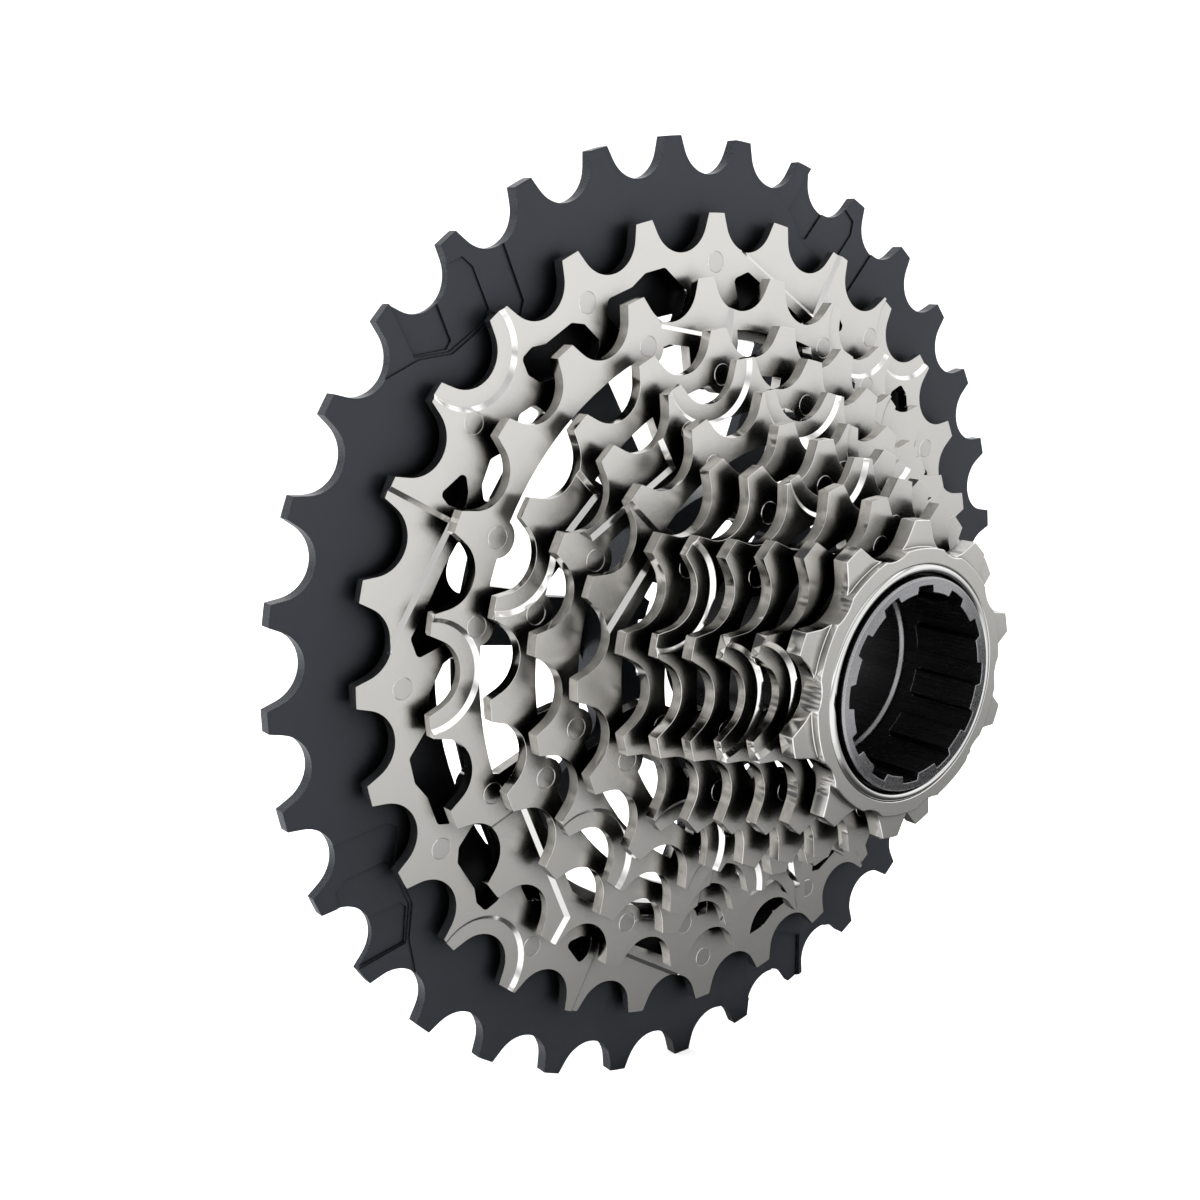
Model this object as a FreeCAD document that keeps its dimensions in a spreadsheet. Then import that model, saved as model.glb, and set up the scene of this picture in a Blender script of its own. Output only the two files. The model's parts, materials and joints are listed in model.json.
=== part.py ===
import FreeCAD, Part
import math
import os
import Sketcher

# Twelve-speed bicycle cassette, 10 to 33 teeth. Millimetres.
# Y is the axle. The smallest sprocket faces -Y, +Z is up, and the origin is on the axle in the
# rear plane of the largest sprocket, where the hub of that sprocket seats on the driver.
# Angles run from +X towards +Z. "Front" is the side that faces -Y.

doc = FreeCAD.newDocument("cassette")

DRIVING = {
    "pitch": 12.7,            # chain pitch
    "roller": 3.97,           # pitch circle to tooth root
    "valley": 4.67,           # radius of the round bottom between two teeth
    "land": 1.39,             # half the width of a tooth at its tip
    "steel": 1.7,             # thickness of a stamped steel sprocket
    "rim": 2.5,               # depth of a steel rim below the tooth root
    "pin_inset": 1.6,         # tooth root to the centre of a rivet pin
    "pin_radius": 1.45,
    "collar": 2.0,            # radius of a pin between two sprockets
    "boss": 2.6,              # radius of the metal round a pin
    "bevel": 0.5,             # depth of the shifting gates
    "big_plate": 1.8,         # thickness of the aluminium sprocket at its teeth
    "big_tip": 4.99,          # its tooth height above the root
    "big_rim": 44.5,          # inner radius of its toothed ring
    "hub_outer": 20.8,
    "hub_length": 9.0,
    "spline_minor": 16.2,
    "spline_major": 17.3,
    "small_back": 38.95,      # rear face of the smallest sprocket
    "small_front": 41.25,     # front of its teeth
    "small_hub": 42.3,        # front of its hub ring
    "small_tip": 3.87,
    "small_pin_circle": 15.4,
    "small_pin": 0.9,
    "small_pin_depth": 1.5,
    "lip_bore": 13.9,         # bore that the lock tube's lip lies in
    "tube_bore": 13.28,       # bore that the lock tube turns in
    "tube_outer": 13.2,
    "lip_outer": 13.65,
    "lip_front": 43.15,
    "lip_back": 41.3,
    "tube_back": 9.6,
    "tool_minor": 11.7,       # between the tool notches
    "tool_major": 12.6,       # bottom of a tool notch
    "tool_depth": 10.0,
    "bearing_bore": 12.1,     # smooth bore over the driver's nose
    "thread_bore": 12.3,
    "thread_length": 7.0,
}

# teeth: front face from the rear plane, tooth height, angle of tooth 0, teeth that carry a rivet
STEEL = {
    28: (4.90, 4.91, -0.15, (0, 2, 4, 7, 9, 11, 14, 16, 18, 21, 23, 25)),
    24: (8.47, 4.71, 5.16, (0, 1, 3, 4, 7, 10, 11, 13, 16, 17, 19, 22)),
    21: (12.06, 4.40, 12.07, (0, 2, 5, 9, 11, 15, 17, 19)),
    19: (15.57, 4.47, 1.03, (0, 2, 4, 6, 8, 10, 14, 16)),
    17: (19.17, 4.43, 10.49, (0, 2, 5, 9, 11, 13, 15)),
    15: (22.82, 4.60, 0.83, (0, 3, 6, 8, 10, 12)),
    14: (26.56, 4.45, 13.41, (0, 3, 4, 6, 8, 11)),
    13: (30.30, 4.35, 0.32, (0, 2, 5, 7, 9, 11)),
    12: (34.03, 4.42, 14.42, (0, 2, 5, 7, 9)),
    11: (37.73, 4.49, 30.54, (0, 2, 5, 7, 9)),
}
BIG_TEETH, BIG_ANGLE = 33, 6.99
SMALL_TEETH, SMALL_ANGLE, SMALL_PINS = 10, 13.2, (0, 2, 4, 6, 8)
ORDER = [BIG_TEETH] + list(STEEL) + [SMALL_TEETH]

for teeth, (face, height, angle, pins) in STEEL.items():
    DRIVING[f"face_{teeth}"] = face
    DRIVING[f"tip_{teeth}"] = height

sheet = doc.addObject("Spreadsheet::Sheet", "dims")
for row, (alias, value) in enumerate(DRIVING.items(), start=1):
    sheet.set(f"A{row}", alias)
    sheet.set(f"B{row}", str(value))
    sheet.setAlias(f"B{row}", alias)
doc.recompute()


def root_text(teeth):
    """Radius of the tooth roots, as an expression on the sheet."""
    return f"(dims.pitch / (2 * sin(180 deg / {teeth})) - dims.roller)"


def root_of(teeth):
    return DRIVING["pitch"] / (2 * math.sin(math.pi / teeth)) - DRIVING["roller"]


def pin_circle_text(teeth):
    """Radius of the circle of rivets that hold a sprocket to the next larger one."""
    return "dims.small_pin_circle" if teeth == SMALL_TEETH else f"({root_text(teeth)} - dims.pin_inset)"


def pin_circle_of(teeth):
    if teeth == SMALL_TEETH:
        return DRIVING["small_pin_circle"]
    return root_of(teeth) - DRIVING["pin_inset"]


def pin_radius_text(teeth):
    return "dims.small_pin" if teeth == SMALL_TEETH else "dims.pin_radius"


def tooth_angle(teeth, index):
    """Angle of a tooth's middle on the finished cassette."""
    if teeth == SMALL_TEETH:
        return SMALL_ANGLE + 360 * index / teeth
    return STEEL[teeth][2] + 360 * index / teeth


def pins_of(teeth):
    indices = SMALL_PINS if teeth == SMALL_TEETH else STEEL[teeth][3]
    return [tooth_angle(teeth, index) for index in indices]


def polar(radius, degrees):
    turn = math.radians(degrees)
    return FreeCAD.Vector(radius * math.cos(turn), radius * math.sin(turn), 0)


def new_body(label):
    body = doc.addObject("PartDesign::Body", label)
    body.Label = label
    return body


def place(body, back_text, degrees):
    """Turns a sprocket about the axle and moves its rear face out to its place."""
    body.setExpression("Placement.Base.y", f"-({back_text})")
    turn = FreeCAD.Rotation(FreeCAD.Vector(0, -1, 0), degrees)
    body.Placement = FreeCAD.Placement(FreeCAD.Vector(0, 0, 0), turn)


def new_sketch(body, name, height="0", role="XZ_Plane"):
    """A sketch across the axle, so far in front of the body's rear face."""
    sketch = body.newObject("Sketcher::SketchObject", name)
    plane = next(item for item in body.Origin.OriginFeatures if item.Role == role)
    sketch.AttachmentSupport = (plane, [""])
    sketch.MapMode = "FlatFace"
    if height != "0":
        sketch.setExpression("AttachmentOffset.Base.z", height)
    return sketch


def bind(sketch, constraint, text):
    """Adds a constraint whose value follows the sheet."""
    index = sketch.addConstraint(constraint)
    sketch.setExpression(f"Constraints[{index}]", text)


def add_circle(sketch, size, size_text, reach=0, reach_text="0", degrees=0):
    """A circle on the axle, or at a reach and angle from it."""
    geo = sketch.addGeometry(Part.Circle(polar(reach, degrees), FreeCAD.Vector(0, 0, 1), size))
    bind(sketch, Sketcher.Constraint("Radius", geo, size), size_text)
    if reach == 0:
        sketch.addConstraint(Sketcher.Constraint("Coincident", geo, 3, -1, 1))
    else:
        spot = polar(reach, degrees)
        for kind, value, turn in (("DistanceX", spot.x, "cos"), ("DistanceY", spot.y, "sin")):
            limit = Sketcher.Constraint(kind, -1, 1, geo, 3, value)
            bind(sketch, limit, f"{reach_text} * {turn}({degrees % 360:.4f} deg)")


def add_loop(sketch, corners):
    """A closed outline of straight sides."""
    for start, end in zip(corners, corners[1:] + corners[:1]):
        sketch.addGeometry(Part.LineSegment(start, end))


def add_arc(sketch, centre, radius, start, end):
    """An arc from one angle to another, in degrees."""
    circle = Part.Circle(centre, FreeCAD.Vector(0, 0, 1), radius)
    sketch.addGeometry(Part.ArcOfCircle(circle, math.radians(start), math.radians(end)))


def pad(body, name, sketch, length_text):
    feature = body.newObject("PartDesign::Pad", name)
    feature.Profile = sketch
    feature.setExpression("Length", length_text)
    doc.recompute()
    return feature


def pocket(body, name, sketch, depth_text=None, slope=0):
    """Cuts back from the sketch, to a depth or right through, with sides that may slope inwards."""
    before = body.Shape.Volume
    feature = body.newObject("PartDesign::Pocket", name)
    feature.Profile = sketch
    if depth_text is None:
        feature.Type = "ThroughAll"
    else:
        feature.setExpression("Length", depth_text)
        feature.TaperAngle = -slope
    doc.recompute()
    if not body.Shape.Volume < before - 0.01:
        raise RuntimeError(f"{body.Label}: {name} cuts nothing")
    return feature


def polar_pattern(body, name, feature, sketch, count):
    pattern = body.newObject("PartDesign::PolarPattern", name)
    pattern.Originals = [feature]
    pattern.Axis = (sketch, ["N_Axis"])
    pattern.Angle = 360
    pattern.Occurrences = count
    body.Tip = pattern
    doc.recompute()
    return pattern


def cut_teeth(body, teeth, tip_text, tip_height, height_text):
    """Cuts the gap between two teeth and repeats it round the sprocket."""
    root = root_of(teeth)
    tip = root + tip_height
    valley = DRIVING["valley"]
    half = math.pi / teeth - DRIVING["land"] / tip
    middle = root + valley
    corner = FreeCAD.Vector(tip * math.cos(half), tip * math.sin(half), 0)
    # the flank runs from the round bottom, tangent to it, through the corner of the tooth's tip
    span = math.hypot(corner.x - middle, corner.y)
    lean = math.atan2(corner.y, corner.x - middle) + math.acos(valley / span)
    foot = FreeCAD.Vector(middle + valley * math.cos(lean), valley * math.sin(lean), 0)
    along = (corner - foot).normalize()
    end = corner + along * 2.5

    sketch = new_sketch(body, f"gap_{teeth}", height_text)
    circle = Part.Circle(FreeCAD.Vector(middle, 0, 0), FreeCAD.Vector(0, 0, 1), valley)
    arc = sketch.addGeometry(Part.ArcOfCircle(circle, lean, 2 * math.pi - lean))
    upper = sketch.addGeometry(Part.LineSegment(foot, end))
    lower_foot = FreeCAD.Vector(foot.x, -foot.y, 0)
    lower_end = FreeCAD.Vector(end.x, -end.y, 0)
    lower = sketch.addGeometry(Part.LineSegment(lower_foot, lower_end))
    close = sketch.addGeometry(Part.LineSegment(end, lower_end))
    tip_corner = sketch.addGeometry(Part.Point(corner))
    sketch.addConstraint([
        Sketcher.Constraint("PointOnObject", arc, 3, -1),
        Sketcher.Constraint("Tangent", arc, 1, upper, 1),
        Sketcher.Constraint("Tangent", arc, 2, lower, 1),
        Sketcher.Constraint("Coincident", close, 1, upper, 2),
        Sketcher.Constraint("Coincident", close, 2, lower, 2),
        Sketcher.Constraint("Symmetric", upper, 2, lower, 2, -1),
        Sketcher.Constraint("PointOnObject", tip_corner, 1, upper),
    ])
    sketch.toggleConstruction(tip_corner)
    root_expression = root_text(teeth)
    turn = f"(180 deg / {teeth} - 180 deg / pi * dims.land / ({root_expression} + {tip_text}))"
    bind(sketch, Sketcher.Constraint("Radius", arc, valley), "dims.valley")
    bind(sketch, Sketcher.Constraint("DistanceX", -1, 1, arc, 3, middle),
         f"{root_expression} + dims.valley")
    bind(sketch, Sketcher.Constraint("DistanceX", -1, 1, tip_corner, 1, corner.x),
         f"({root_expression} + {tip_text}) * cos({turn})")
    bind(sketch, Sketcher.Constraint("DistanceY", -1, 1, tip_corner, 1, corner.y),
         f"({root_expression} + {tip_text}) * sin({turn})")
    bind(sketch, Sketcher.Constraint("DistanceX", -1, 1, upper, 2, end.x),
         f"{root_expression} + {tip_text} + 2")
    # the first gap lies half a tooth past tooth 0
    sketch.AttachmentOffset = FreeCAD.Placement(
        FreeCAD.Vector(0, 0, 0), FreeCAD.Rotation(FreeCAD.Vector(0, 0, 1), 180 / teeth))
    sketch.setExpression("AttachmentOffset.Base.z", height_text)
    doc.recompute()
    gap = pocket(body, f"gap_cut_{teeth}", sketch)
    polar_pattern(body, f"teeth_{teeth}", gap, sketch, teeth)


# --- stamped steel sprockets -------------------------------------------------------------------

# Shift ramps: (angle and radius of the outer end, angle and radius of the inner end). The faces of
# the teeth outside the ramp are set back, so the chain can climb past them.
RAMPS = {
    28: [((84.6 + turn, 52.7), (64.8 + turn, 47.3)) for turn in (0, 90, 180, 270)],
    24: [((106.5, 44.6), (90, 40.6)), ((231.6, 45.2), (205.8, 39.5)), ((351, 45.0), (327, 40.0))],
    21: [((163 + turn, 39.3), (138.6 + turn, 34.2)) for turn in (0, 120, 240)],
    19: [((149.4 + turn, 34.6), (122.4 + turn, 30.2)) for turn in (0, 133, 246)],
    17: [((168 + turn, 30.8), (140 + turn, 27.0)) for turn in (0, 190)],
}
# Gates: gaps between teeth whose faces are set back in a crescent, by the tooth before the gap
GATES = {
    28: (3, 10, 17, 24),
    24: (3, 11, 19),
    21: (1, 8, 15),
    19: (5, 11, 17),
    17: (3, 11),
    15: (2, 9),
    14: (5, 12),
    13: (3, 10),
    12: (5, 11),
    11: (4, 9),
}
# Windows in the web of the 28-tooth sprocket, repeated every quarter turn: corners as angles and
# radii, going round each window
WINDOWS_28 = [
    [(6.2, 47.6), (10.3, 51.3), (14.2, 51.3), (17.2, 50.2), (22.0, 50.2), (23.2, 48.6),
     (21.6, 45.6), (17.0, 43.6), (9.0, 43.6)],
    [(26.0, 45.8), (27.6, 49.0), (29.6, 50.2), (35.2, 50.3), (37.3, 51.3), (39.6, 51.2),
     (40.3, 49.0), (39.4, 47.0), (34.0, 45.0), (28.0, 44.2)],
    [(41.5, 43.2), (42.5, 45.6), (45.5, 46.4), (48.0, 45.4), (47.6, 43.2)],
    [(51.5, 42.9), (51.6, 45.2), (54.0, 46.4), (58.2, 45.8), (60.2, 44.6), (59.8, 42.9)],
    [(57.6, 48.9), (62.4, 50.9), (63.3, 49.2), (62.9, 46.6), (60.2, 47.2)],
    [(68.0, 43.0), (67.6, 46.0), (72.0, 47.0), (77.5, 48.2), (83.0, 50.2), (86.0, 49.0),
     (84.2, 45.4), (81.5, 43.0)],
    [(85.6, 43.2), (87.2, 45.2), (91.5, 47.3), (94.2, 47.6), (95.4, 45.6), (94.0, 43.2)],
]
WINDOW_CORNER = 0.7     # radius of a window's corners
TAB_BOSS = 2.3          # metal round a rivet in the web
SLOPE = 50              # slope of the step beside a ramp or gate, from the axle
TAB_WALL = 0.85         # metal beside a rivet in a tab
RAMP_SHELF = 1.5        # metal kept inside a ramp
GATE_REACH = 2.7        # from the round bottom of a gap to the edge of its gate


def add_rounded_loop(sketch, corners, radius):
    """A closed outline with straight sides and round corners."""
    count = len(corners)
    ends = []
    for index, corner in enumerate(corners):
        before = (corners[index - 1] - corner).normalize()
        after = (corners[(index + 1) % count] - corner).normalize()
        half = before.getAngle(after) / 2
        reach = radius / math.tan(half)
        middle = (before + after).normalize()
        crown = corner + middle * (radius / math.sin(half) - radius)
        ends.append((corner + before * reach, crown, corner + after * reach))
    for index, (start, crown, stop) in enumerate(ends):
        sketch.addGeometry(Part.Arc(start, crown, stop))
        sketch.addGeometry(Part.LineSegment(stop, ends[(index + 1) % count][0]))


def tab_outline(sketch, degrees, reach, radius, outer):
    """A tab that runs in from the rim and ends round about a rivet."""
    turn = math.radians(degrees)
    along = FreeCAD.Vector(math.cos(turn), math.sin(turn), 0)
    across = FreeCAD.Vector(-math.sin(turn), math.cos(turn), 0) * radius
    left_out, left_in = along * outer + across, along * reach + across
    right_in, right_out = along * reach - across, along * outer - across
    sketch.addGeometry(Part.LineSegment(left_out, left_in))
    add_arc(sketch, along * reach, radius, degrees + 90, degrees + 270)
    sketch.addGeometry(Part.LineSegment(right_in, right_out))
    sketch.addGeometry(Part.LineSegment(right_out, left_out))


def shelf_outline(sketch, start, end, angle):
    """A band of metal along the inside of a shift ramp."""
    outer, inner = polar(start[1], start[0] - angle), polar(end[1], end[0] - angle)
    along = (inner - outer).normalize()
    inward = FreeCAD.Vector(-along.y, along.x, 0)
    if inward.dot(outer) > 0:
        inward = inward * -1
    step = inward * RAMP_SHELF
    back = outer * ((start[1] - 1) / start[1])
    far = polar(end[1] + 3.2, end[0] - angle - 1)
    add_loop(sketch, [back, far, inner + along * 1.2, inner + along * 1.2 + step, back + step * 0.6])


def ramp_outline(sketch, start, end, angle, tip):
    """The set-back area between a shift ramp and the tips of the teeth outside it."""
    outer, inner = polar(start[1], start[0] - angle), polar(end[1], end[0] - angle)
    middle = (start[0] + end[0]) / 2 - angle
    add_loop(sketch, [outer, inner, polar(tip + 3, end[0] - angle - 1), polar(tip + 4, middle),
                      polar(tip + 3, start[0] - angle)])


def steel_sprocket(teeth):
    face, height, angle, own_pins = STEEL[teeth]
    smaller = ORDER[ORDER.index(teeth) + 1]
    body = new_body(f"sprocket_{teeth}t")
    root = root_of(teeth)
    tip = root + height
    tip_text = f"dims.tip_{teeth}"
    web = teeth == 28
    inner = pin_circle_of(smaller) - 2.2 if web else root - DRIVING["rim"]
    inner_text = f"{pin_circle_text(smaller)} - 2.2" if web else f"{root_text(teeth)} - dims.rim"
    next_pins = [spot - angle for spot in pins_of(smaller)]
    tab = DRIVING["small_pin" if smaller == SMALL_TEETH else "pin_radius"] + TAB_WALL

    blank = new_sketch(body, f"blank_{teeth}")
    add_circle(blank, tip, f"{root_text(teeth)} + {tip_text}")
    add_circle(blank, inner, inner_text)
    pad(body, f"plate_{teeth}", blank, "dims.steel")
    cut_teeth(body, teeth, tip_text, height, "dims.steel")

    if not web:
        bosses = new_sketch(body, f"bosses_{teeth}")
        for index in own_pins:
            add_circle(bosses, DRIVING["boss"], "dims.boss", pin_circle_of(teeth),
                       pin_circle_text(teeth), 360 * index / teeth)
        pad(body, f"boss_pads_{teeth}", bosses, "dims.steel")
        tabs = new_sketch(body, f"tabs_{teeth}")
        for spot in next_pins:
            tab_outline(tabs, spot, pin_circle_of(smaller), tab, inner + 0.8)
        pad(body, f"tab_pads_{teeth}", tabs, "dims.steel")
    else:
        windows = new_sketch(body, f"windows_{teeth}", "dims.steel")
        for quarter in range(4):
            for window in WINDOWS_28:
                corners = [polar(radius, turn + 90 * quarter) for turn, radius in window]
                add_rounded_loop(windows, corners, WINDOW_CORNER)
        pocket(body, f"window_cut_{teeth}", windows)
        bosses = new_sketch(body, f"bosses_{teeth}")
        for spot in next_pins:
            add_circle(bosses, TAB_BOSS, str(TAB_BOSS), pin_circle_of(smaller),
                       pin_circle_text(smaller), spot)
        pad(body, f"boss_pads_{teeth}", bosses, "dims.steel")

    if teeth in RAMPS and not web:
        shelves = new_sketch(body, f"shelves_{teeth}")
        for start, end in RAMPS[teeth]:
            shelf_outline(shelves, start, end, angle)
        pad(body, f"shelf_pads_{teeth}", shelves, "dims.steel")
    if teeth in RAMPS:
        ramps = new_sketch(body, f"ramps_{teeth}", "dims.steel")
        for start, end in RAMPS[teeth]:
            ramp_outline(ramps, start, end, angle, tip)
        pocket(body, f"ramp_cut_{teeth}", ramps, "dims.bevel", SLOPE)

    gates = new_sketch(body, f"gates_{teeth}", "dims.steel")
    for index in GATES[teeth]:
        reach = DRIVING["valley"] + GATE_REACH
        add_circle(gates, reach, f"dims.valley + {GATE_REACH}", root + DRIVING["valley"],
                   f"({root_text(teeth)} + dims.valley)", 360 * (index + 0.5) / teeth)
    pocket(body, f"gate_cut_{teeth}", gates, "dims.bevel", SLOPE)

    holes = new_sketch(body, f"holes_{teeth}", "dims.steel")
    for index in own_pins:
        add_circle(holes, DRIVING["pin_radius"], "dims.pin_radius", pin_circle_of(teeth),
                   pin_circle_text(teeth), 360 * index / teeth)
    small = DRIVING["small_pin" if smaller == SMALL_TEETH else "pin_radius"]
    for spot in next_pins:
        add_circle(holes, small, pin_radius_text(smaller), pin_circle_of(smaller),
                   pin_circle_text(smaller), spot)
    pocket(body, f"hole_cut_{teeth}", holes)
    place(body, f"dims.face_{teeth} - dims.steel", angle)
    return body


# --- aluminium sprocket and its spider ---------------------------------------------------------

ARMS, ARM_ANGLE = 7, 16.4
ARM_HALF, ARM_CORNER = 3.3, 3.2    # half the width of an arm, and the corners beside it
SPLINES = 20
SPLINE_HALF_IN, SPLINE_HALF_OUT = 1.45, 1.15
# Shift zones: the angle of each zone's first tooth
BIG_ZONES = (292.4, 214.3, 138.0, 72.5, 356.1)


# Terraces of a shift zone, each deeper than the last: the depth as a share of dims.bevel, and the
# corners as angles from the zone's first tooth and radii; the last ones lie past the tips
TERRACES = [
    (0.6, [(5.7, 63.1), (0.9, 60.4), (-2.7, 57.2), (-9.6, 56.3), (-13.8, 54.0), (-15.3, 55.3),
           (-16.5, 62.8), (-16.5, 71.0), (-5.4, 72.0), (5.7, 71.0)]),
    (1.1, [(1.1, 61.0), (-2.7, 57.6), (-9.4, 56.7), (-10.5, 57.5), (-11.7, 63.0), (-11.2, 64.9),
           (-9.0, 65.6), (-8.2, 67.0), (-6.0, 72.0), (-2.2, 71.0)]),
    (1.7, [(0.9, 61.1), (-2.7, 58.0), (-3.9, 58.3), (-5.7, 63.5), (-5.5, 71.5), (-2.4, 71.0)]),
]


def add_arm_window(sketch, low, high):
    """The window between two parallel-sided arms, round at its four corners."""
    inner, outer = DRIVING["hub_outer"], DRIVING["big_rim"]
    offset = ARM_HALF + ARM_CORNER
    near = math.sqrt((inner + ARM_CORNER) ** 2 - offset ** 2)
    far = math.sqrt((outer - ARM_CORNER) ** 2 - offset ** 2)
    lean_in = math.degrees(math.atan2(offset, near))
    lean_out = math.degrees(math.atan2(offset, far))
    origin = FreeCAD.Vector(0, 0, 0)
    add_arc(sketch, origin, outer, low + lean_out, high - lean_out)
    add_arc(sketch, origin, inner, low + lean_in, high - lean_in)
    for arm, side in ((low, 1), (high, -1)):
        across = polar(side, arm + 90)
        sketch.addGeometry(Part.LineSegment(polar(far, arm) + across * ARM_HALF,
                                            polar(near, arm) + across * ARM_HALF))
    outer_low, outer_high = (polar(outer - ARM_CORNER, low + lean_out),
                             polar(outer - ARM_CORNER, high - lean_out))
    inner_low, inner_high = (polar(inner + ARM_CORNER, low + lean_in),
                             polar(inner + ARM_CORNER, high - lean_in))
    add_arc(sketch, outer_high, ARM_CORNER, high - lean_out, high + 90)
    add_arc(sketch, inner_high, ARM_CORNER, high + 90, high - lean_in + 180)
    add_arc(sketch, inner_low, ARM_CORNER, low + lean_in + 180, low + 270)
    add_arc(sketch, outer_low, ARM_CORNER, low - 90, low + lean_out)


def big_sprocket():
    body = new_body("sprocket_33t")
    tip = root_of(BIG_TEETH) + DRIVING["big_tip"]
    blank = new_sketch(body, "blank_33")
    add_circle(blank, tip, f"{root_text(BIG_TEETH)} + dims.big_tip")
    add_circle(blank, DRIVING["spline_minor"], "dims.spline_minor")
    pad(body, "plate_33", blank, "dims.big_plate")
    cut_teeth(body, BIG_TEETH, "dims.big_tip", DRIVING["big_tip"], "dims.big_plate")

    windows = new_sketch(body, "windows_33", "dims.big_plate")
    for number in range(ARMS):
        low = ARM_ANGLE - BIG_ANGLE + 360 * number / ARMS
        add_arm_window(windows, low, low + 360 / ARMS)
    pocket(body, "window_cut_33", windows)
    hub = new_sketch(body, "hub_33")
    add_circle(hub, DRIVING["hub_outer"], "dims.hub_outer")
    add_circle(hub, DRIVING["spline_minor"], "dims.spline_minor")
    pad(body, "hub_pad_33", hub, "dims.hub_length")

    spline = new_sketch(body, "spline_33", "dims.hub_length")
    inside, outside = DRIVING["spline_minor"] - 1, DRIVING["spline_major"]
    add_loop(spline, [FreeCAD.Vector(inside, -SPLINE_HALF_IN, 0),
                      FreeCAD.Vector(outside, -SPLINE_HALF_OUT, 0),
                      FreeCAD.Vector(outside, SPLINE_HALF_OUT, 0),
                      FreeCAD.Vector(inside, SPLINE_HALF_IN, 0)])
    groove = pocket(body, "spline_cut_33", spline)
    polar_pattern(body, "splines_33", groove, spline, SPLINES)

    for level, (depth, points) in enumerate(TERRACES, start=1):
        terrace = new_sketch(body, f"terrace_{level}_33", "dims.big_plate")
        for first in BIG_ZONES:
            corners = [polar(radius, first - BIG_ANGLE + turn) for turn, radius in points]
            add_loop(terrace, corners)
        pocket(body, f"terrace_cut_{level}_33", terrace, f"dims.bevel * {depth}")

    holes = new_sketch(body, "holes_33", "dims.big_plate")
    for spot in pins_of(28):
        add_circle(holes, DRIVING["pin_radius"], "dims.pin_radius", pin_circle_of(28),
                   pin_circle_text(28), spot - BIG_ANGLE)
    pocket(body, "hole_cut_33", holes)
    place(body, "0", BIG_ANGLE)
    return body


# --- smallest sprocket, its front ring and the lock tube -----------------------------------------

HUB_STEP = 17.1          # edge of the raised ring on the smallest sprocket's face
RING_OUTER = 15.2        # polished ring round the lip
RING_BACK, RING_FRONT = 41.0, 42.65
TRIMMED_TOOTH, TRIMMED_TIP = 8, 18.4
NOTCHES, NOTCH_HALF = 12, 6.3      # tool notches, and half the angle of one
NOTCH_ANGLE = 27.0                 # middle of the first notch
CLIP_GAP, CLIP_OUTER = 36, 14.0    # the clip's opening in degrees, and its outer radius


def revolve(body, name, outline):
    """Turns an outline of (radius, distance in front of the rear plane) about the axle."""
    sketch = new_sketch(body, f"{name}_outline", role="XY_Plane")
    points = [FreeCAD.Vector(radius, -front, 0) for radius, front in outline]
    lines = []
    for start, end in zip(points, points[1:] + points[:1]):
        lines.append(sketch.addGeometry(Part.LineSegment(start, end)))
    for line, following in zip(lines, lines[1:] + lines[:1]):
        sketch.addConstraint(Sketcher.Constraint("Coincident", line, 2, following, 1))
    feature = body.newObject("PartDesign::Revolution", name)
    feature.Profile = sketch
    feature.ReferenceAxis = (sketch, ["V_Axis"])
    feature.Angle = 360
    doc.recompute()
    return sketch, lines


def bind_outline(sketch, lines, outline_text):
    """Ties every corner of a turned outline to the sheet."""
    for line, (radius_text, front_text) in zip(lines, outline_text):
        start = sketch.Geometry[line].StartPoint
        bind(sketch, Sketcher.Constraint("DistanceX", -1, 1, line, 1, start.x), radius_text)
        bind(sketch, Sketcher.Constraint("DistanceY", line, 1, -1, 1, -start.y), front_text)
    doc.recompute()


def turned(body, name, corners):
    """A turned piece from (radius, front) pairs given as expressions on the sheet."""
    values = [tuple(evaluate(text) for text in corner) for corner in corners]
    sketch, lines = revolve(body, name, values)
    bind_outline(sketch, lines, corners)


def evaluate(text):
    """The value of a simple sum of sheet aliases and numbers."""
    total, sign = 0.0, 1
    for word in text.split():
        if word in "+-":
            sign = 1 if word == "+" else -1
        else:
            total += sign * (DRIVING[word[5:]] if word.startswith("dims.") else float(word))
    return total


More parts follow.
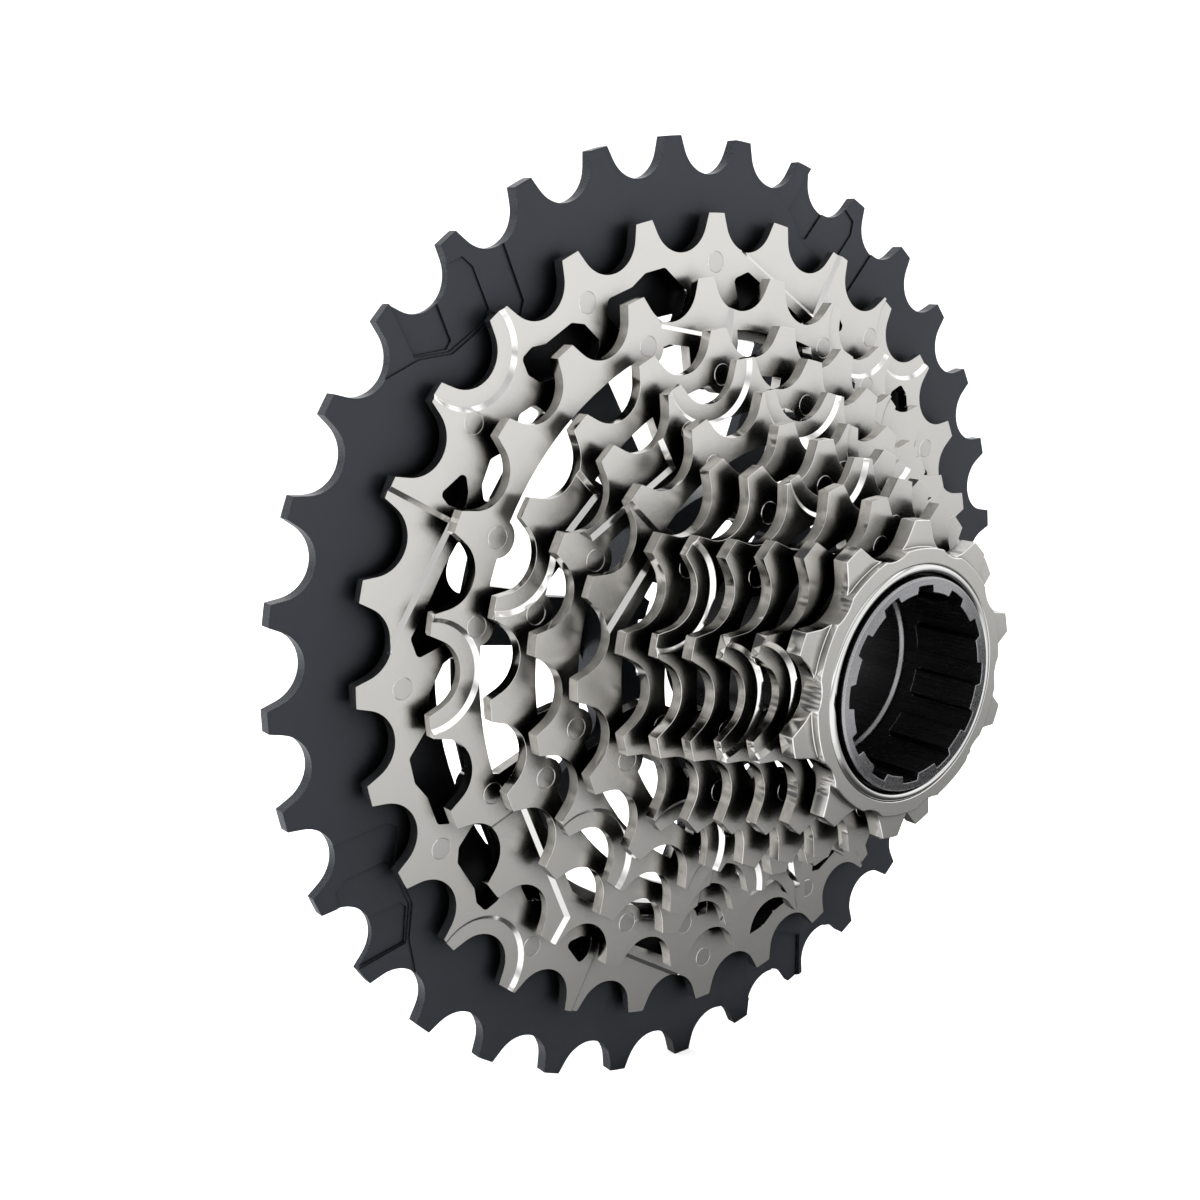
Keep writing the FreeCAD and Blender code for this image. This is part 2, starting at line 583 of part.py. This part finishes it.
def small_sprocket():
    body = new_body("sprocket_10t")
    tip_radius = root_of(SMALL_TEETH) + DRIVING["small_tip"]
    blank = new_sketch(body, "blank_10")
    add_circle(blank, tip_radius, f"{root_text(SMALL_TEETH)} + dims.small_tip")
    add_circle(blank, DRIVING["tube_bore"], "dims.tube_bore")
    pad(body, "plate_10", blank, "dims.small_front - dims.small_back")
    ring = new_sketch(body, "hub_ring_10")
    add_circle(ring, HUB_STEP, str(HUB_STEP))
    add_circle(ring, DRIVING["tube_bore"], "dims.tube_bore")
    pad(body, "hub_pad_10", ring, "dims.small_hub - dims.small_back")
    cut_teeth(body, SMALL_TEETH, "dims.small_tip", DRIVING["small_tip"],
              "dims.small_hub - dims.small_back")

    seat = new_sketch(body, "ring_seat_10", "dims.small_hub - dims.small_back")
    add_circle(seat, RING_OUTER, str(RING_OUTER))
    pocket(body, "ring_seat_cut_10", seat, f"dims.small_hub - {RING_BACK}")

    trim = new_sketch(body, "trim_10", "dims.small_hub - dims.small_back")
    middle = 360 * TRIMMED_TOOTH / SMALL_TEETH
    add_loop(trim, [polar(TRIMMED_TIP, middle - 10), polar(TRIMMED_TIP, middle + 10),
                    polar(tip_radius + 3, middle + 12), polar(tip_radius + 3, middle - 12)])
    pocket(body, "trim_cut_10", trim)

    holes = new_sketch(body, "holes_10")
    for spot in pins_of(SMALL_TEETH):
        add_circle(holes, DRIVING["small_pin"], "dims.small_pin", DRIVING["small_pin_circle"],
                   "dims.small_pin_circle", spot - SMALL_ANGLE)
    before = body.Shape.Volume
    blind = body.newObject("PartDesign::Pocket", "hole_cut_10")
    blind.Profile = holes
    blind.Reversed = True
    blind.setExpression("Length", "dims.small_pin_depth")
    doc.recompute()
    if not body.Shape.Volume < before - 0.01:
        raise RuntimeError("sprocket_10t: the blind holes cut nothing")
    place(body, "dims.small_back", SMALL_ANGLE)
    return body


def front_ring():
    """The polished ring pressed into the smallest sprocket round the lock tube's lip."""
    body = new_body("front_ring")
    crown = [(0.0, -0.75), (0.12, -0.35), (0.4, -0.08), (0.65, 0.0), (0.9, -0.08), (1.18, -0.35),
             (1.3, -0.75)]
    corners = [("dims.lip_bore", f"{RING_BACK}")]
    for across, drop in crown:
        corners.append((f"dims.lip_bore + {across}", f"{RING_FRONT} - {-drop}"))
    corners.append((f"{RING_OUTER}", f"{RING_BACK}"))
    turned(body, "ring_turned", corners)
    return body


def lip_washer():
    body = new_body("lip_washer")
    back = f"{RING_BACK}"
    front = f"{RING_BACK} + 0.25"
    turned(body, "washer_turned", [
        ("dims.tube_bore + 0.02", back), ("dims.tube_bore + 0.02", front),
        ("dims.lip_bore - 0.05", front), ("dims.lip_bore - 0.05", back)])
    return body


def lock_tube():
    """The tube that screws on to the driver and holds the cassette on it."""
    body = new_body("lock_tube")
    clip_front, clip_back = "dims.small_back - 0.05", "dims.small_back - 0.9"
    turned(body, "tube_turned", [
        ("dims.tool_minor", "dims.lip_front"),
        ("dims.lip_outer - 0.25", "dims.lip_front"),
        ("dims.lip_outer", "dims.lip_front - 0.25"),
        ("dims.lip_outer", "dims.lip_back"),
        ("dims.tube_outer", "dims.lip_back"),
        ("dims.tube_outer", clip_front),
        ("dims.tube_outer - 0.4", clip_front),
        ("dims.tube_outer - 0.4", clip_back),
        ("dims.tube_outer", clip_back),
        ("dims.tube_outer", "dims.tube_back + 0.6"),
        ("dims.tube_outer - 0.5", "dims.tube_back"),
        ("dims.thread_bore", "dims.tube_back"),
        ("dims.thread_bore", "dims.tube_back + dims.thread_length"),
        ("dims.tool_major", "dims.tube_back + dims.thread_length + 0.4"),
        ("dims.tool_major", "dims.tube_back + dims.thread_length + 2.2"),
        ("dims.bearing_bore", "dims.tube_back + dims.thread_length + 2.7"),
        ("dims.bearing_bore", "dims.lip_front - dims.tool_depth - 3.4"),
        ("dims.tool_major", "dims.lip_front - dims.tool_depth - 3.0"),
        ("dims.tool_major", "dims.lip_front - dims.tool_depth"),
        ("dims.tool_minor", "dims.lip_front - dims.tool_depth"),
    ])
    notch = new_sketch(body, "notch_outline", "dims.lip_front")
    inside, outside = DRIVING["tool_minor"] - 0.7, DRIVING["tool_major"]
    add_arc(notch, FreeCAD.Vector(0, 0, 0), outside, -NOTCH_HALF, NOTCH_HALF)
    low_out, high_out = polar(outside, -NOTCH_HALF), polar(outside, NOTCH_HALF)
    low_in, high_in = polar(inside, -NOTCH_HALF - 2), polar(inside, NOTCH_HALF + 2)
    notch.addGeometry(Part.LineSegment(high_out, high_in))
    notch.addGeometry(Part.LineSegment(high_in, low_in))
    notch.addGeometry(Part.LineSegment(low_in, low_out))
    cut = pocket(body, "notch_cut", notch, "dims.tool_depth")
    polar_pattern(body, "notches", cut, notch, NOTCHES)
    turn = FreeCAD.Rotation(FreeCAD.Vector(0, -1, 0), NOTCH_ANGLE)
    body.Placement = FreeCAD.Placement(FreeCAD.Vector(0, 0, 0), turn)
    return body


def tube_clip():
    """The open spring ring in the tube's groove, behind the smallest sprocket."""
    body = new_body("tube_clip")
    outline = new_sketch(body, "clip_outline", "dims.small_back - 0.87")
    inner, outer = DRIVING["tube_outer"] - 0.4, CLIP_OUTER
    origin = FreeCAD.Vector(0, 0, 0)
    low, high = CLIP_GAP / 2, 360 - CLIP_GAP / 2
    add_arc(outline, origin, outer, low, high)
    add_arc(outline, origin, inner, low, high)
    for turn in (low, high):
        outline.addGeometry(Part.LineSegment(polar(inner, turn), polar(outer, turn)))
    pad(body, "clip_pad", outline, "0.8")
    return body


# --- rivet pins ----------------------------------------------------------------------------------

def back_text(teeth):
    return "0" if teeth == BIG_TEETH else f"(dims.face_{teeth} - dims.steel)"


def front_text(teeth):
    return "dims.big_plate" if teeth == BIG_TEETH else f"dims.face_{teeth}"


def rivet_pins(larger, smaller):
    """The pins that hold two neighbouring sprockets at their distance."""
    body = new_body(f"pins_{larger}_{smaller}")
    small = smaller == SMALL_TEETH
    shank = DRIVING["small_pin"] if small else DRIVING["pin_radius"]
    collar = shank + 0.4 if small else DRIVING["collar"]
    collar_text = "dims.small_pin + 0.4" if small else "dims.collar"
    end = "dims.small_back + dims.small_pin_depth" if small else f"dims.face_{smaller}"
    seat = "dims.small_back" if small else back_text(smaller)
    angle = SMALL_ANGLE if small else STEEL[smaller][2]
    shanks = new_sketch(body, f"shanks_{smaller}", back_text(larger))
    collars = new_sketch(body, f"collars_{smaller}", front_text(larger))
    for sketch, size, text in ((shanks, shank, pin_radius_text(smaller)),
                               (collars, collar, collar_text)):
        for spot in pins_of(smaller):
            add_circle(sketch, size, text, pin_circle_of(smaller), pin_circle_text(smaller),
                       spot - angle)
    pad(body, f"shank_pads_{smaller}", shanks, f"{end} - {back_text(larger)}")
    pad(body, f"collar_pads_{smaller}", collars, f"{seat} - {front_text(larger)}")
    turn = FreeCAD.Rotation(FreeCAD.Vector(0, -1, 0), angle)
    body.Placement = FreeCAD.Placement(FreeCAD.Vector(0, 0, 0), turn)
    return body


pieces = [big_sprocket()]
pieces += [steel_sprocket(teeth) for teeth in STEEL]
pieces += [small_sprocket(), front_ring(), lip_washer(), lock_tube(), tube_clip()]
pieces += [rivet_pins(larger, smaller) for larger, smaller in zip(ORDER, ORDER[1:])]
doc.recompute()

failed = [item.Name for item in doc.Objects if {"Invalid", "Error"} & set(item.State)]
if failed:
    raise RuntimeError(f"objects failed: {failed}")
for piece in pieces:
    if piece.Shape.isNull() or not piece.Shape.isValid():
        raise RuntimeError(f"{piece.Label} has no valid shape")

os.makedirs("parts", exist_ok=True)
for piece in pieces:
    piece.Shape.exportStep(f"parts/{piece.Label}.step")
    box = piece.Shape.BoundBox
    print(f"{piece.Label}: {len(piece.Shape.Solids)} solids, {piece.Shape.Volume:.1f} mm3,"
          f" y {box.YMin:.2f} to {box.YMax:.2f}, half width {box.XMax:.2f}")
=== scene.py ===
import json
import math

import bpy
from mathutils import Matrix, Vector


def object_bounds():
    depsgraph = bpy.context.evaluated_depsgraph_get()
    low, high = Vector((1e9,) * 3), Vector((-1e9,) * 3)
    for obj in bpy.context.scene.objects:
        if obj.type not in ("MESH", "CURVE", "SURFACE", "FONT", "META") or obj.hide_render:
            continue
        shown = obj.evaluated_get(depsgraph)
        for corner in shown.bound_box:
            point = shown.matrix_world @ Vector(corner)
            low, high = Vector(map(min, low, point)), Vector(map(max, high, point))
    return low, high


# A riveted bicycle cassette in a pale studio. Metres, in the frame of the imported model:
# Y is the axle, the smallest sprocket faces -Y, +Z is up.

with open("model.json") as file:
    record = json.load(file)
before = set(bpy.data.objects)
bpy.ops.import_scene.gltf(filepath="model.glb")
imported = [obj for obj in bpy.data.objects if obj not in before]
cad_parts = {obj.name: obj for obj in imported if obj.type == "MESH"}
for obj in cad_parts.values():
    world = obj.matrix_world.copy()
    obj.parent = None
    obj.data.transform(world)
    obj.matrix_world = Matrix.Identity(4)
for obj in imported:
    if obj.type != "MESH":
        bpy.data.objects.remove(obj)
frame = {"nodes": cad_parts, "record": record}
CAD_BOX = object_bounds()
NODES = frame["nodes"]


# ---------------------------------------------------------------- camera

VIEW_AZIMUTH, VIEW_ELEVATION = math.radians(-38.698), math.radians(12.891)
VIEW_DISTANCE = 0.221135
VIEW_RIGHT, VIEW_UP = -0.012604, 0.003075
LENS, SENSOR = 45.47, 36                         # millimetres


def add_camera():
    a, e = VIEW_AZIMUTH, VIEW_ELEVATION
    back = Vector((math.sin(a) * math.cos(e), -math.cos(a) * math.cos(e), math.sin(e)))
    right = Vector((math.cos(a), math.sin(a), 0))
    up = back.cross(right)
    data = bpy.data.cameras.new("camera")
    data.lens, data.sensor_width = LENS, SENSOR
    data.clip_start, data.clip_end = 0.005, 30
    camera = bpy.data.objects.new("camera", data)
    turn = Matrix((right, up, back)).transposed().to_4x4()
    camera.matrix_world = Matrix.Translation(
        back * VIEW_DISTANCE + right * VIEW_RIGHT + up * VIEW_UP) @ turn
    bpy.context.scene.collection.objects.link(camera)
    bpy.context.scene.camera = camera


# ---------------------------------------------------------------- node helpers

class Graph:
    """A material's nodes, made one at a time."""

    def __init__(self, name):
        self.material = bpy.data.materials.new(name)
        self.material.use_nodes = True
        self.tree = self.material.node_tree
        self.shader = self.tree.nodes["Principled BSDF"]

    def node(self, kind, **settings):
        made = self.tree.nodes.new(kind)
        for key, value in settings.items():
            setattr(made, key, value)
        return made

    def link(self, source, target):
        self.tree.links.new(source, target)

    def value(self, target, source):
        if isinstance(source, (int, float, tuple, list)):
            target.default_value = source
        else:
            self.link(source, target)

    def math(self, operation, a, b=0.0):
        made = self.node("ShaderNodeMath", operation=operation)
        self.value(made.inputs[0], a)
        self.value(made.inputs[1], b)
        return made.outputs[0]

    def vector(self, operation, a, b=None):
        """Vector arithmetic; b is a vector, or a factor when the operation is SCALE."""
        made = self.node("ShaderNodeVectorMath", operation=operation)
        self.value(made.inputs[0], a)
        if b is not None:
            self.value(made.inputs["Scale" if operation == "SCALE" else 1], b)
        return made.outputs[0]

    def noise(self, scale, detail=2.0, roughness=0.5, vector=None):
        made = self.node("ShaderNodeTexNoise")
        made.inputs["Scale"].default_value = scale
        made.inputs["Detail"].default_value = detail
        made.inputs["Roughness"].default_value = roughness
        self.link(vector or self.position(), made.inputs["Vector"])
        return made.outputs["Fac"]

    def coordinates(self):
        if not hasattr(self, "_coordinates"):
            self._coordinates = self.node("ShaderNodeTexCoord")
        return self._coordinates

    def position(self):
        return self.coordinates().outputs["Object"]

    def ramp(self, source, stops):
        made = self.node("ShaderNodeValToRGB")
        elements = made.color_ramp.elements
        while len(elements) < len(stops):
            elements.new(0.5)
        for element, (place, colour) in zip(elements, stops):
            element.position = place
            element.color = (*colour, 1) if isinstance(colour, tuple) else (colour,) * 3 + (1,)
        self.link(source, made.inputs["Fac"])
        return made.outputs["Color"]

    def mix(self, factor, a, b):
        made = self.node("ShaderNodeMix", data_type="RGBA")
        self.value(made.inputs["Factor"], factor)
        self.value(made.inputs["A"], (*a, 1) if isinstance(a, tuple) else a)
        self.value(made.inputs["B"], (*b, 1) if isinstance(b, tuple) else b)
        return made.outputs["Result"]

    def blend(self, factor, low, high):
        """A number that goes from low to high as factor goes from 0 to 1."""
        made = self.node("ShaderNodeMapRange")
        self.link(factor, made.inputs["Value"])
        made.inputs["To Min"].default_value = low
        made.inputs["To Max"].default_value = high
        return made.outputs["Result"]

    def across(self):
        """1 on the faces across the axle, 0 on the cut walls, between them on the edges."""
        split = self.node("ShaderNodeSeparateXYZ")
        self.link(self.coordinates().outputs["Normal"], split.inputs[0])
        return self.math("ABSOLUTE", split.outputs["Y"])

    def step(self, source, low, high):
        """A smooth rise from 0 to 1 as source goes from low to high."""
        made = self.node("ShaderNodeMapRange", interpolation_type="SMOOTHSTEP")
        self.link(source, made.inputs["Value"])
        made.inputs["From Min"].default_value = low
        made.inputs["From Max"].default_value = high
        return made.outputs["Result"]

    def openness(self, reach, low, high):
        """1 in the open and 0 deep between neighbouring pieces that lie within reach."""
        made = self.node("ShaderNodeAmbientOcclusion", samples=8)
        made.inputs["Distance"].default_value = reach
        return self.step(made.outputs["AO"], low, high)

    def bump(self, *layers):
        """Layers of (height, strength, distance), each on top of the last."""
        normal = None
        for height, strength, distance in layers:
            made = self.node("ShaderNodeBump")
            made.inputs["Strength"].default_value = strength
            made.inputs["Distance"].default_value = distance
            self.link(height, made.inputs["Height"])
            if normal:
                self.link(normal, made.inputs["Normal"])
            normal = made.outputs["Normal"]
        self.link(normal, self.shader.inputs["Normal"])

    def set(self, **inputs):
        for key, source in inputs.items():
            self.value(self.shader.inputs[key.replace("_", " ")], source)


# ---------------------------------------------------------------- materials

HOLLOW_REACH = 0.0075                        # how far shade gathers between the sprockets
WALL_SHADE, FACE_SHADE = (0.05, 0.85), (0.34, 0.92)
RAMP_ACROSS = math.cos(math.radians(50))     # how far the sloped shift ramps face along the axle
EDGE_START, EDGE_FULL = 0.05, 0.25           # where a rounded edge and its painted highlight begin, by the same measure
FINE_RELIEF = 0.00003                        # height of the grain, in metres
# The first colour is a painted highlight laid on the rounded steel edges; the second is the tone
# of the grain.
PAINTED_EDGE_HIGHLIGHT, GRAIN_TINT = (0.96, 0.95, 0.93), (0.42, 0.41, 0.39)


def scaled(colour, factor):
    return tuple(channel * factor for channel in colour)


def nickel(name, face=(0.74, 0.73, 0.70), wall=(0.60, 0.585, 0.555), face_rough=0.25):
    """Nickel-plated steel: satin faces with a fine tumbled grain, glossy walls, a painted
    highlight on the edges and painted shade deep between the sprockets.
    """
    g = Graph(name)
    across = g.across()
    flat = g.step(across, 0.86, 0.985)
    edge = g.math("SUBTRACT", g.step(across, EDGE_START, EDGE_FULL), flat)
    off_ramp = g.step(g.math("ABSOLUTE", g.math("SUBTRACT", across, RAMP_ACROSS)), 0.01, 0.04)
    edge = g.math("MULTIPLY", edge, off_ramp)
    grain = g.noise(9000, detail=3, roughness=0.7)
    tinted = g.ramp(g.noise(60, detail=2), [(0.3, face), (0.7, scaled(face, 0.96))])
    streak = g.ramp(g.noise(700, detail=2), [(0.35, wall), (0.7, scaled(wall, 0.8))])
    speckled = g.mix(g.blend(grain, 0.0, 0.16), tinted, GRAIN_TINT)
    bare = g.mix(flat, streak, speckled)
    open_to_light = g.mix(flat, g.openness(HOLLOW_REACH, *WALL_SHADE),
                          g.openness(HOLLOW_REACH, *FACE_SHADE))
    shaded = g.mix(open_to_light, scaled(face, 0.03), bare)
    # painted highlight: the rounded edges take a near-white colour, even deep between the
    # sprockets
    g.set(Metallic=1.0, Base_Color=g.mix(edge, shaded, PAINTED_EDGE_HIGHLIGHT))
    g.set(Roughness=g.blend(flat, 0.12, face_rough))
    g.bump((g.math("MULTIPLY", grain, flat), 0.22, FINE_RELIEF))
    return g.material


def black_anodised(name, colour=(0.027, 0.029, 0.0345), rough=0.38):
    """Satin black anodised aluminium with a fine grain and painted shade behind the steel
    sprockets.
    """
    g = Graph(name)
    flat = g.step(g.across(), 0.80, 0.97)
    grain = g.noise(6000, detail=3, roughness=0.65)
    base = g.mix(g.noise(35, detail=2), colour, scaled(colour, 1.35))
    greyed = g.mix(g.blend(grain, 0, 0.3), base, scaled(colour, 2.0))
    # painted shade: the colour goes to near-black where the steel sprockets lie close in front
    g.set(Base_Color=g.mix(g.openness(0.008, 0.25, 1.0), (0.001, 0.001, 0.0012), greyed))
    g.set(Metallic=0.75, Specular_IOR_Level=0.3)
    uneven = g.math("MULTIPLY", g.math("SUBTRACT", grain, 0.5), 0.12)
    g.set(Roughness=g.math("ADD", g.blend(flat, rough - 0.1, rough), uneven))
    g.bump((grain, 0.2, FINE_RELIEF))
    return g.material


CROWN = 42.0                # tilt of the lip's face, per metre from the axle
ALONG_AXLE = 0.03           # how much the scores in the bore are drawn out along the axle


def turned_black(name, bore=(0.035, 0.035, 0.037), lip=(0.24, 0.24, 0.25), rough=0.28):
    """Black anodised tube: a slightly crowned lip with a painted sheen, fine scores along the
    bore, painted shade deep in the bore and a painted highlight on its edges.
    """
    g = Graph(name)
    across = g.across()
    flat = g.step(across, 0.90, 0.985)
    edge = g.math("SUBTRACT", g.step(across, 0.05, 0.30), flat)
    drawn_out = g.vector("MULTIPLY", g.position(), (1.0, ALONG_AXLE, 1.0))
    scores = g.noise(1400, detail=3, roughness=0.6, vector=drawn_out)
    walls = g.mix(scores, bore, scaled(bore, 0.6))
    shaded = g.mix(g.openness(0.012, 0.05, 0.85), (0.0005, 0.0005, 0.0005), walls)
    # painted sheen: the lip is coloured lighter than the bore; painted highlight: the rounded
    # edges get a lighter grey still
    g.set(Base_Color=g.mix(edge, g.mix(flat, shaded, lip), (0.34, 0.34, 0.35)))
    g.set(Metallic=0.9, Roughness=g.blend(scores, rough - 0.10, rough + 0.08))
    g.set(Specular_IOR_Level=0.3)
    # the lip's face leans outwards, more with its distance from the axle
    turned = g.node("ShaderNodeVectorTransform", vector_type="VECTOR", convert_from="OBJECT",
                    convert_to="WORLD")
    g.link(g.vector("MULTIPLY", g.position(), (CROWN, 0.0, CROWN)), turned.inputs[0])
    lean = g.vector("SCALE", turned.outputs[0], flat)
    normal = g.node("ShaderNodeNewGeometry").outputs["Normal"]
    g.link(g.vector("NORMALIZE", g.vector("ADD", normal, lean)), g.shader.inputs["Normal"])
    return g.material


def polished(name):
    g = Graph(name)
    cloud = g.noise(300, detail=2)
    g.set(Metallic=1.0, Base_Color=g.mix(cloud, (0.80, 0.80, 0.79), (0.72, 0.72, 0.71)))
    g.set(Roughness=g.blend(cloud, 0.05, 0.11))
    return g.material


def black_polymer(name):
    g = Graph(name)
    grain = g.noise(4000, detail=3)
    g.set(Base_Color=g.mix(grain, (0.012, 0.012, 0.012), (0.022, 0.022, 0.023)), Roughness=0.6)
    g.bump((grain, 0.2, 0.00002))
    return g.material


# ---------------------------------------------------------------- carried-over CAD nodes

EDGE = {"sprocket_33t": 0.00024, "lock_tube": 0.00010, "sprocket_10t": 0.00018}
STEEL_EDGE, PIN_EDGE = 0.00020, 0.00012     # rounding of the edges, in metres
SHARP_ANGLE, PLANAR_ANGLE = math.radians(35), math.radians(0.1)
WELD_DISTANCE = 1e-6
LEFT_SHARP = "lip_washer"                   # thinner than its edges could be rounded


def soften(node, width):
    """Joins the faces of an imported solid and rounds its sharp edges."""
    weld = node.modifiers.new("weld", "WELD")
    weld.merge_threshold = WELD_DISTANCE
    planar = node.modifiers.new("planar", "DECIMATE")
    planar.decimate_type, planar.angle_limit = "DISSOLVE", PLANAR_ANGLE
    bevel = node.modifiers.new("bevel", "BEVEL")
    bevel.width, bevel.segments = width, 2
    bevel.limit_method, bevel.angle_limit = "ANGLE", SHARP_ANGLE
    bevel.use_clamp_overlap = True
    normals = node.modifiers.new("normals", "WEIGHTED_NORMAL")
    normals.mode, normals.keep_sharp, normals.weight = "FACE_AREA", False, 100


def dress(materials):
    slot_of = {part["node"]: part["material_slot"] for part in frame["record"]["subparts"]}
    for name, node in NODES.items():
        node.data.materials.clear()
        node.data.materials.append(materials[slot_of[name]])
        if name != LEFT_SHARP:
            soften(node, EDGE.get(name, PIN_EDGE if name.startswith("pins") else STEEL_EDGE))


# ---------------------------------------------------------------- studio

def add_area(name, place, size, power):
    """A soft light that faces the cassette and doesn't show in its reflections."""
    data = bpy.data.lights.new(name, "AREA")
    data.shape, (data.size, data.size_y) = "RECTANGLE", size
    data.energy = power
    light = bpy.data.objects.new(name, data)
    light.location = place
    light.rotation_mode = "QUATERNION"
    light.rotation_quaternion = (-Vector(place)).to_track_quat("-Z", "Y")
    light.visible_glossy = False
    bpy.context.scene.collection.objects.link(light)


def add_floor():
    """A pale floor that curves up into a wall all round."""
    low = CAD_BOX[0].z
    flat, curve, top, around = 0.75, 0.45, 1.3, 96
    profile = [(0.0, 0.0), (flat, 0.0)]
    profile += [(flat + curve * math.sin(t), curve * (1 - math.cos(t)))
                for t in [math.pi / 2 * k / 12 for k in range(1, 13)]]
    profile.append((flat + curve, top))
    verts, faces = [(0, 0, low)], []
    rings = profile[1:]
    for radius, height in rings:
        verts += [(radius * math.cos(2 * math.pi * k / around),
                   radius * math.sin(2 * math.pi * k / around), low + height)
                  for k in range(around)]
    for k in range(around):
        faces.append((0, 1 + k, 1 + (k + 1) % around))
    for r in range(len(rings) - 1):
        for k in range(around):
            n = (k + 1) % around
            a, b = 1 + r * around, 1 + (r + 1) * around
            faces.append((a + k, b + k, b + n, a + n))
    mesh = bpy.data.meshes.new("floor")
    mesh.from_pydata(verts, [], faces)
    mesh.shade_smooth()
    floor = bpy.data.objects.new("floor", mesh)
    bpy.context.scene.collection.objects.link(floor)
    g = Graph("studio_paper")
    g.set(Base_Color=g.mix(g.noise(3), (0.90, 0.90, 0.90), (0.92, 0.92, 0.92)), Roughness=0.9)
    g.set(Specular_IOR_Level=0.1)
    mesh.materials.append(g.material)
    floor.visible_glossy = False


# what the metal mirrors, by height along an axis that leans to the left of upright
GLOW = [(-1.0, 0.05), (-0.74, 0.08), (-0.68, 0.18), (-0.62, 0.38), (-0.56, 0.80), (-0.46, 0.88),
        (-0.34, 1.12), (-0.10, 1.18), (0.20, 1.12), (0.35, 0.50), (0.50, 1.40), (0.70, 0.50),
        (1.0, 1.0)]
GLOW_AXIS = (-0.5, 0.0, 0.866)


def add_world():
    world = bpy.data.worlds.new("studio")
    bpy.context.scene.world = world
    world.use_nodes = True
    tree = world.node_tree
    background = tree.nodes["Background"]
    coordinates = tree.nodes.new("ShaderNodeTexCoord")
    along = tree.nodes.new("ShaderNodeVectorMath")
    along.operation = "DOT_PRODUCT"
    along.inputs[1].default_value = GLOW_AXIS
    ramp = tree.nodes.new("ShaderNodeValToRGB")
    ramp.color_ramp.interpolation = "EASE"
    span = tree.nodes.new("ShaderNodeMapRange")
    tree.links.new(coordinates.outputs["Generated"], along.inputs[0])
    span.inputs["From Min"].default_value = -1
    tree.links.new(along.outputs["Value"], span.inputs["Value"])
    tree.links.new(span.outputs["Result"], ramp.inputs["Fac"])
    elements = ramp.color_ramp.elements
    while len(elements) < len(GLOW):
        elements.new(0.5)
    for element, (place, level) in zip(elements, GLOW):
        element.position, element.color = (place + 1) / 2, (level, level, level, 1)
    tree.links.new(ramp.outputs["Color"], background.inputs["Color"])
    background.inputs["Strength"].default_value = 1.0


def add_studio():
    add_floor()
    add_world()
    add_area("top", (0.0, -0.05, 0.75), (0.9, 0.9), 9)
    add_area("front_right", (0.55, -0.55, 0.25), (0.5, 0.7), 6)
    add_area("left", (-0.65, -0.15, 0.20), (0.4, 0.7), 4)
    add_area("behind", (-0.25, 0.65, 0.35), (0.6, 0.4), 4)
    bpy.context.scene.view_settings.view_transform = "Standard"


# ---------------------------------------------------------------- scene

add_camera()
dress({
    "nickel_steel": nickel("nickel_steel_looks"),
    "black_alloy": black_anodised("black_alloy_looks"),
    "pin_steel": nickel("pin_steel_looks", face=(0.66, 0.65, 0.63), face_rough=0.24),
    "polished_steel": polished("polished_steel_looks"),
    "tube_alloy": turned_black("tube_alloy_looks"),
    "black_polymer": black_polymer("black_polymer_looks"),
    "spring_steel": nickel("spring_steel_looks", face=(0.25, 0.25, 0.25),
                           wall=(0.2, 0.2, 0.2)),
})
add_studio()
